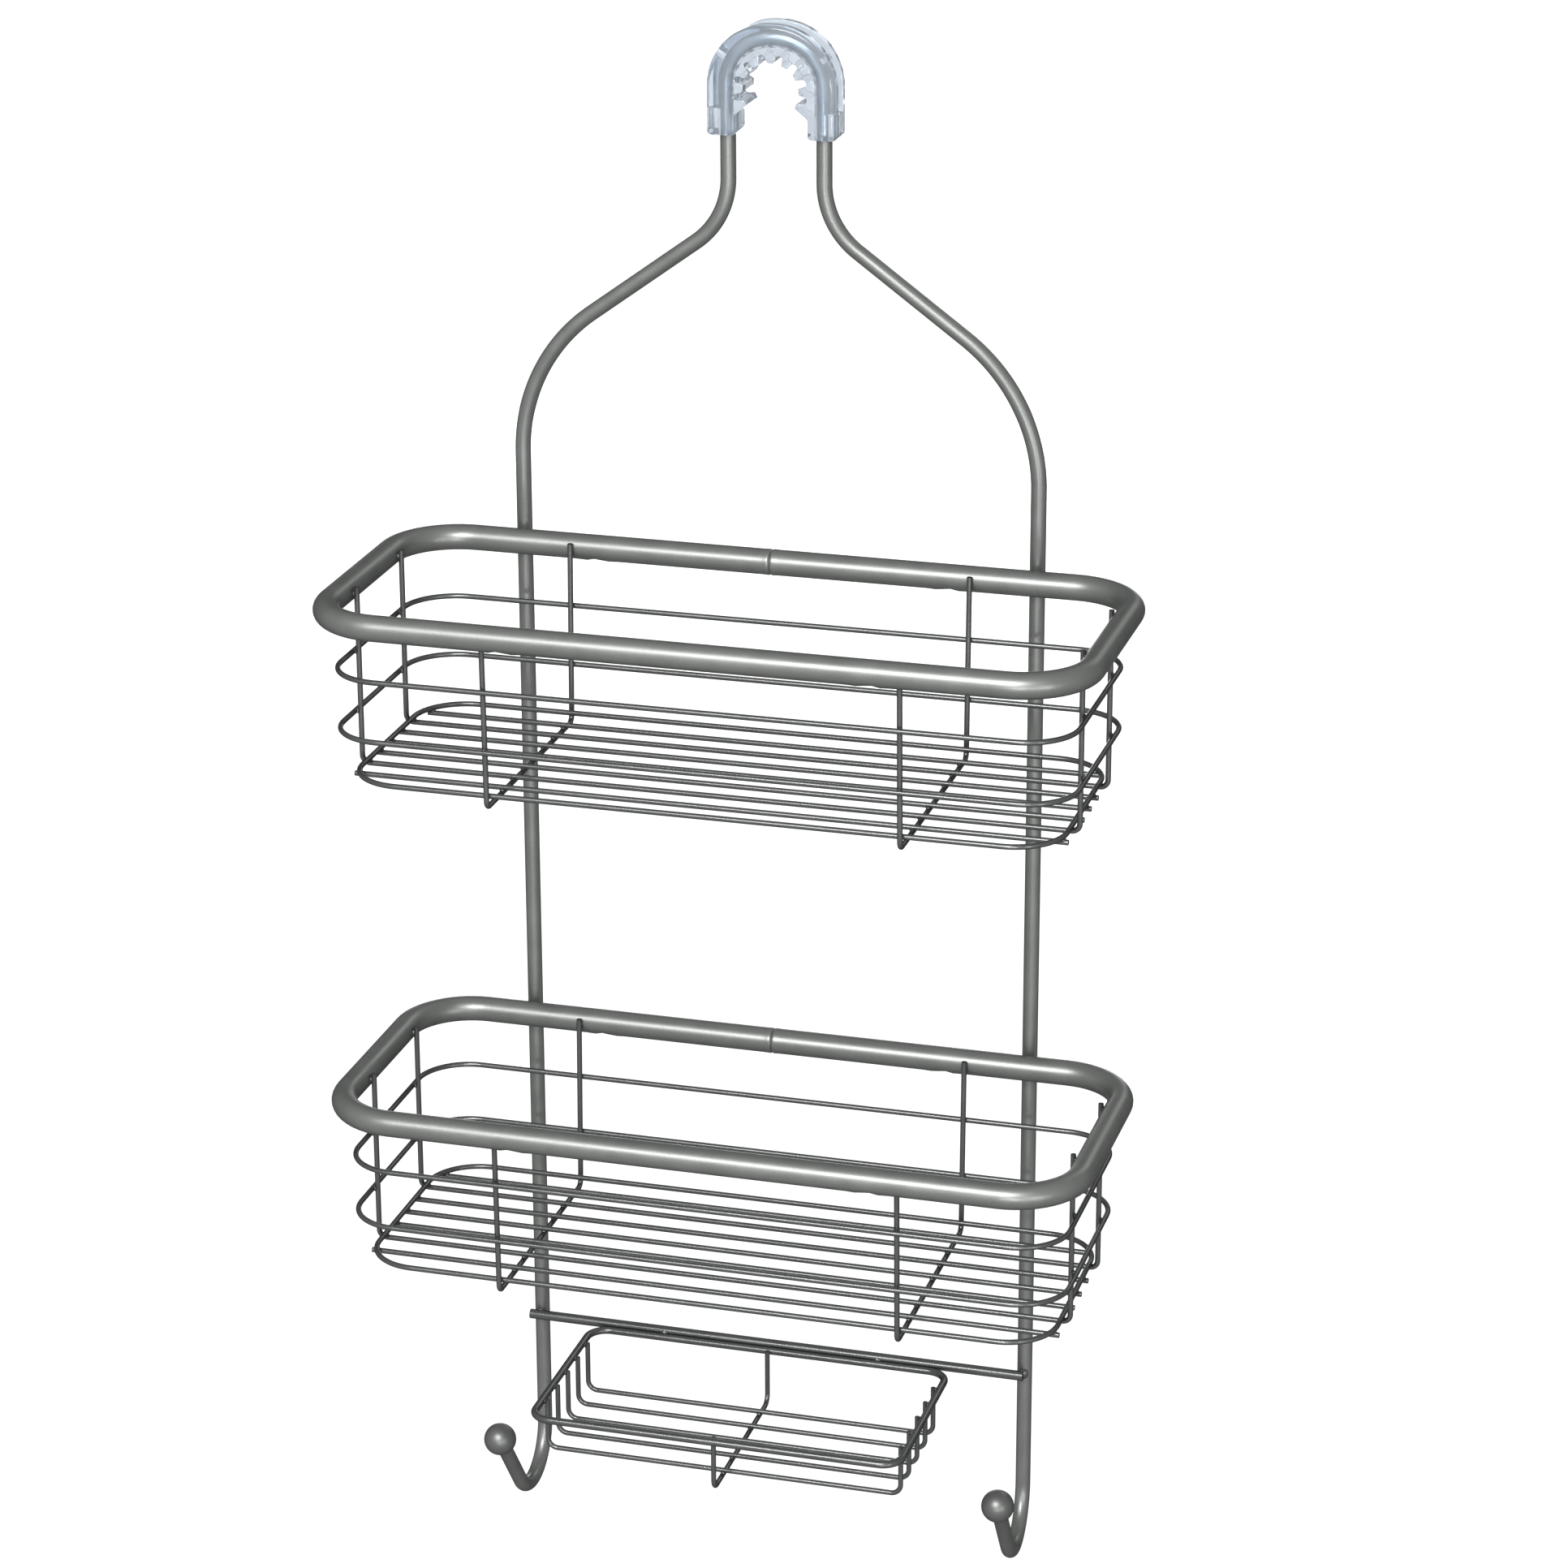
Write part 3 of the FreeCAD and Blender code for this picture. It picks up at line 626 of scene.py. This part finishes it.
def clear_grip(material):
    """The clear moulded grip: sleeve, rod channel, comb of teeth, outer slot and its bridges."""
    low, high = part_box("hook_grip")
    half_depth = (high.y - low.y) / 2
    outside = high.x - NECK_X
    leg = low.z
    root = NECK_X - GRIP_INSIDE
    channel_radius = ROD + CHANNEL_PLAY
    sleeve = bmesh.new()
    sweep_outline(sleeve, hoop_path(leg),
                  block_outline(-GRIP_INSIDE, outside, half_depth, GRIP_INNER_CORNER,
                                GRIP_CORNER), GRIP_END_ROUND)
    grip = scratch_object(sleeve, "grip_work")
    slot = bmesh.new()
    sweep_outline(slot, hoop_path(leg + GRIP_BAND),
                  block_outline(-0.01 * MM, outside + 2 * MM, SLOT_WIDTH / 2,
                                0.005 * MM, 0.3 * MM))
    combine(grip, scratch_object(slot, "slot"), "DIFFERENCE")
    channel = bmesh.new()
    sweep_outline(channel, hoop_path(leg - 5 * MM), circle_outline(channel_radius, ROD_SIDES))
    combine(grip, scratch_object(channel, "channel"), "DIFFERENCE")
    moulded = bmesh.new()
    moulded.from_mesh(grip.data)
    bpy.data.objects.remove(grip)
    comb = comb_outline(root, ARM_RADIUS, NECK_X - channel_radius, leg + WEDGE_RISE)
    added = [extruded(comb, half_depth - TOOTH_SETBACK)]
    for side in (-1, 1):
        angle = math.pi / 2 + side * (math.pi / 2 - BRIDGE_ANGLE)
        added.append(spoke_block(angle, NECK_X + channel_radius,
                                 NECK_X + outside - BRIDGE_SINK,
                                 BRIDGE_HALF_WIDTH, SLOT_WIDTH / 2 + 0.5 * MM))
    for shape in added:
        bmesh.ops.recalc_face_normals(shape, faces=shape.faces)
        mesh = bpy.data.meshes.new("grip_addition")
        shape.to_mesh(mesh)
        shape.free()
        moulded.from_mesh(mesh)
        bpy.data.meshes.remove(mesh)
    grip = scratch_object(moulded, "grip_work")
    soften = grip.modifiers.new("soften", "REMESH")
    soften.mode = "VOXEL"
    soften.voxel_size = GRIP_VOXEL
    relax = grip.modifiers.new("relax", "SMOOTH")
    relax.factor = 0.5
    relax.iterations = 8
    apply_modifiers(grip)
    moulded = bmesh.new()
    moulded.from_mesh(grip.data)
    bpy.data.objects.remove(grip)
    return finish_piece(moulded, "clear_grip", material, ["hook_grip"])


# --- welds -------------------------------------------------------------------------------

def weld_nugget(mesh_data, place, first, second, size, rng):
    """A fused nugget where two wires cross: a lumpy lens between them."""
    first = Vector(first).normalized()
    second = Vector(second).normalized()
    normal = first.cross(second).normalized()
    turn = Matrix((first, second, normal)).transposed()
    made = bmesh.ops.create_icosphere(mesh_data, subdivisions=2, radius=1.0)
    for vert in made["verts"]:
        unit = vert.co
        saddle = 1.0 + 0.25 * abs(unit.x * unit.y)
        lump = 1.0 + rng.uniform(-0.07, 0.07)
        local = Vector((unit.x * size * 0.98 * saddle, unit.y * size * 0.98 * saddle,
                        unit.z * size * 0.62)) * lump
        vert.co = place + turn @ local


def nugget_adder(mesh_data, seed, usual_size):
    """A function that adds a nugget to the mesh, with its own run of random lumps."""
    rng = random.Random(seed)

    def nugget(x, y, z, first, second, size=usual_size):
        weld_nugget(mesh_data, Vector((x, y, z)), first, second, size, rng)

    return nugget


def middle(node):
    """The middle of a CAD node's box."""
    low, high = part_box(node)
    return (low + high) / 2


def ring_reach(low, high, radius, y):
    """How far a ring's centreline reaches along X at a place along Y."""
    half_x = (high.x - low.x) / 2 - radius
    half_y = (high.y - low.y) / 2 - radius
    over = max(0.0, abs(y - (low.y + high.y) / 2) - (half_y - RING_BEND))
    return half_x - RING_BEND + math.sqrt(max(0.0, RING_BEND ** 2 - over ** 2))


def basket_welds(name, material):
    """Nuggets at every crossing of one basket's wires, rings, ribs and rim."""
    welds = bmesh.new()
    wire = (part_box(f"{name}_upper_ring")[1].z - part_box(f"{name}_upper_ring")[0].z) / 2
    rim_low, rim_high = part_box(f"{name}_rim")
    rim = (rim_high.z - rim_low.z) / 2
    floor_low, floor_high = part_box(f"{name}_floor_ring")
    rows = {row: middle(f"{name}_{node}").y for row, node in LONG_RIB_ROWS.items()}
    pitch = (rows[2] - rows[6]) / 4
    row_y = [rows[2] + pitch * (2 - row) for row in range(1, FLOOR_WIRES + 1)]
    ribs = [middle(f"{name}_cross_rib_{side}").x for side in SIDES]
    nugget = nugget_adder(welds, name, wire)
    for x in ribs:
        for level in ("upper_ring", "lower_ring"):
            low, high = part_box(f"{name}_{level}")
            for y in (low.y + 2 * wire, high.y - 2 * wire):
                nugget(x, y, (low.z + high.z) / 2, X, Z)
        for y in (floor_low.y, floor_high.y):
            nugget(x, y, (floor_low.z + floor_high.z) / 2, X, Z)
        for y in (rim_low.y + 2 * rim, rim_high.y - 2 * rim):
            nugget(x, y, (rim_low.z + rim_high.z) / 2, X, Z, wire * RIM_WELD_SWELL)
        for y in row_y:
            nugget(x, y, floor_low.z - 2 * wire, X, Y)
    for y in rows.values():
        for level in ("upper_ring", "lower_ring"):
            low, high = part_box(f"{name}_{level}")
            for x in (low.x + 2 * wire, high.x - 2 * wire):
                nugget(x, y, (low.z + high.z) / 2, Y, Z)
        for x in (rim_low.x + 2 * rim, rim_high.x - 2 * rim):
            nugget(x, y, (rim_low.z + rim_high.z) / 2, Y, Z, wire * RIM_WELD_SWELL)
    for y in row_y:
        reach = ring_reach(floor_low, floor_high, wire, y)
        for side in (-1, 1):
            nugget(side * reach, y, floor_low.z, X, Y)
    for side in (-1, 1):
        nugget(side * UPRIGHT_X, rim_high.y, (rim_low.z + rim_high.z) / 2, X, Z, UPRIGHT_WELD)
    return finish_piece(welds, f"{name}_basket_welds", material)


def dish_welds(material):
    """Nuggets on the soap dish and its crossbar."""
    welds = bmesh.new()
    low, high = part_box("dish_rim")
    centre = (low + high) / 2
    rim = (high.z - low.z) / 2
    wire = (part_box("dish_wire_1")[1].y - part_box("dish_wire_1")[0].y) / 2
    nugget = nugget_adder(welds, "dish", wire)
    for row in range(1, DISH_WIRES + 1):
        y = middle(f"dish_wire_{row}").y
        nugget(low.x + 2 * rim, y, centre.z, Y, Z)
        nugget(high.x - 2 * rim, y, centre.z, Y, Z)
        nugget(centre.x, y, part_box(f"dish_wire_{row}")[0].z, X, Y)
    for y in (low.y + 2 * rim, high.y - 2 * rim):
        nugget(centre.x, y, centre.z, X, Z)
    bar = middle("crossbar")
    for side in (-1, 1):
        nugget(side * UPRIGHT_X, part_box("crossbar")[1].y, bar.z, X, Z, CROSSBAR_WELD)
        nugget(centre.x + side * DISH_TIE, (bar.y + high.y - rim) / 2, (bar.z + centre.z) / 2,
               X, Z, DISH_WELD)
    return finish_piece(welds, "dish_welds", material)


# --- build -------------------------------------------------------------------------------

def paint_node(name, material):
    """Gives a CAD node its finished material."""
    node = NODES[name]
    for index in range(len(node.material_slots)):
        node.material_slots[index].material = material
    if not node.material_slots:
        node.data.materials.append(material)


# The last paint is painted light for the rod inside the grip.
rod_paint, rim_paint, wire_paint, ball_paint, rod_painted_light = [
    paint(name, tone, roughness) for name, (tone, roughness) in PAINTS.items()]
clear_vinyl = vinyl("grip_clear_vinyl")

for node_name in NODES:
    paint_node(node_name, wire_paint)
bent_rod(rod_paint, rod_painted_light)
clear_grip(clear_vinyl)

for basket in BASKETS:
    basket_rim(basket, rim_paint)
    basket_welds(basket, wire_paint)
for side in SIDES:
    hook_ball(side, ball_paint)
dish_welds(wire_paint)


# --- studio ------------------------------------------------------------------------------

def direction(azimuth, elevation):
    """The way from the caddy towards a place; azimuth 0 is the front, 90 its right side."""
    turn, rise = math.radians(azimuth), math.radians(elevation)
    return Vector((math.sin(turn) * math.cos(rise), -math.cos(turn) * math.cos(rise),
                   math.sin(rise)))


def softbox(name, azimuth, elevation, distance, width, height, power):
    """An area light that faces the caddy's middle."""
    data = bpy.data.lights.new(name, "AREA")
    data.shape = "RECTANGLE"
    data.size = width
    data.size_y = height
    data.energy = power
    light = bpy.data.objects.new(name, data)
    bpy.context.scene.collection.objects.link(light)
    middle_of_caddy = (CAD_LOW + CAD_HIGH) / 2
    light.location = middle_of_caddy + direction(azimuth, elevation) * distance
    light.rotation_euler = (-direction(azimuth, elevation)).to_track_quat("-Z", "Y").to_euler()
    light.visible_transmission = name not in BEHIND


def backdrop():
    """White floor well under the feet, and a white dome round it."""
    size, level = BACKDROP_REACH, CAD_LOW.z - FLOOR_GAP
    plane = bmesh.new()
    plane.faces.new([plane.verts.new((x * size, y * size, level))
                     for x, y in ((-1, -1), (1, -1), (1, 1), (-1, 1))])
    dome = bmesh.new()
    bmesh.ops.create_icosphere(dome, subdivisions=4, radius=DOME_RADIUS)
    for name, shape in (("floor", plane), ("backdrop", dome)):
        mesh = bpy.data.meshes.new(name)
        shape.to_mesh(mesh)
        shape.free()
        mesh.materials.append(backdrop_paint())
        item = bpy.data.objects.new(name, mesh)
        bpy.context.scene.collection.objects.link(item)
        item.visible_diffuse = False
        item.visible_glossy = False
        item.visible_shadow = False


def room():
    """The grey room that the paint reflects: light above and in front, darker behind."""
    world = bpy.data.worlds.new("studio")
    bpy.context.scene.world = world
    world.use_nodes = True
    tree = world.node_tree
    place = tree.nodes.new("ShaderNodeTexCoord")
    split = tree.nodes.new("ShaderNodeSeparateXYZ")
    tree.links.new(place.outputs["Generated"], split.inputs["Vector"])
    height = add_span(tree, split.outputs["Z"], (-1, 1), ROOM_LEVELS["floor to ceiling"])
    depth = add_span(tree, split.outputs["Y"], (-1, 1), ROOM_LEVELS["front to back"])
    shade = tree.nodes.new("ShaderNodeMath")
    shade.operation = "MULTIPLY"
    tree.links.new(height, shade.inputs[0])
    tree.links.new(depth, shade.inputs[1])
    background = tree.nodes["Background"]
    tree.links.new(shade.outputs["Value"], background.inputs["Color"])
    background.inputs["Strength"].default_value = 1.0


def aim_camera():
    """The camera at its place round the caddy, rolled a little."""
    data = bpy.data.cameras.new("camera")
    data.sensor_width = 36
    data.lens = CAMERA["lens"]
    data.clip_end = 50
    camera = bpy.data.objects.new("camera", data)
    bpy.context.scene.collection.objects.link(camera)
    back = direction(CAMERA["azimuth"], CAMERA["elevation"])
    turned = math.radians(CAMERA["azimuth"])
    right = Vector((math.cos(turned), math.sin(turned), 0))
    up = back.cross(right)
    roll = math.radians(CAMERA["roll"])
    rolled_right = right * math.cos(roll) + up * math.sin(roll)
    rolled_up = up * math.cos(roll) - right * math.sin(roll)
    turn = Matrix((rolled_right, rolled_up, back)).transposed().to_4x4()
    camera.matrix_world = Matrix.Translation(LOOK_AT + back * CAMERA["distance"]) @ turn
    bpy.context.scene.camera = camera


backdrop()
room()
for box_name, values in SOFTBOXES.items():
    softbox(box_name, *values)
aim_camera()
bpy.context.scene.view_settings.view_transform = "Standard"
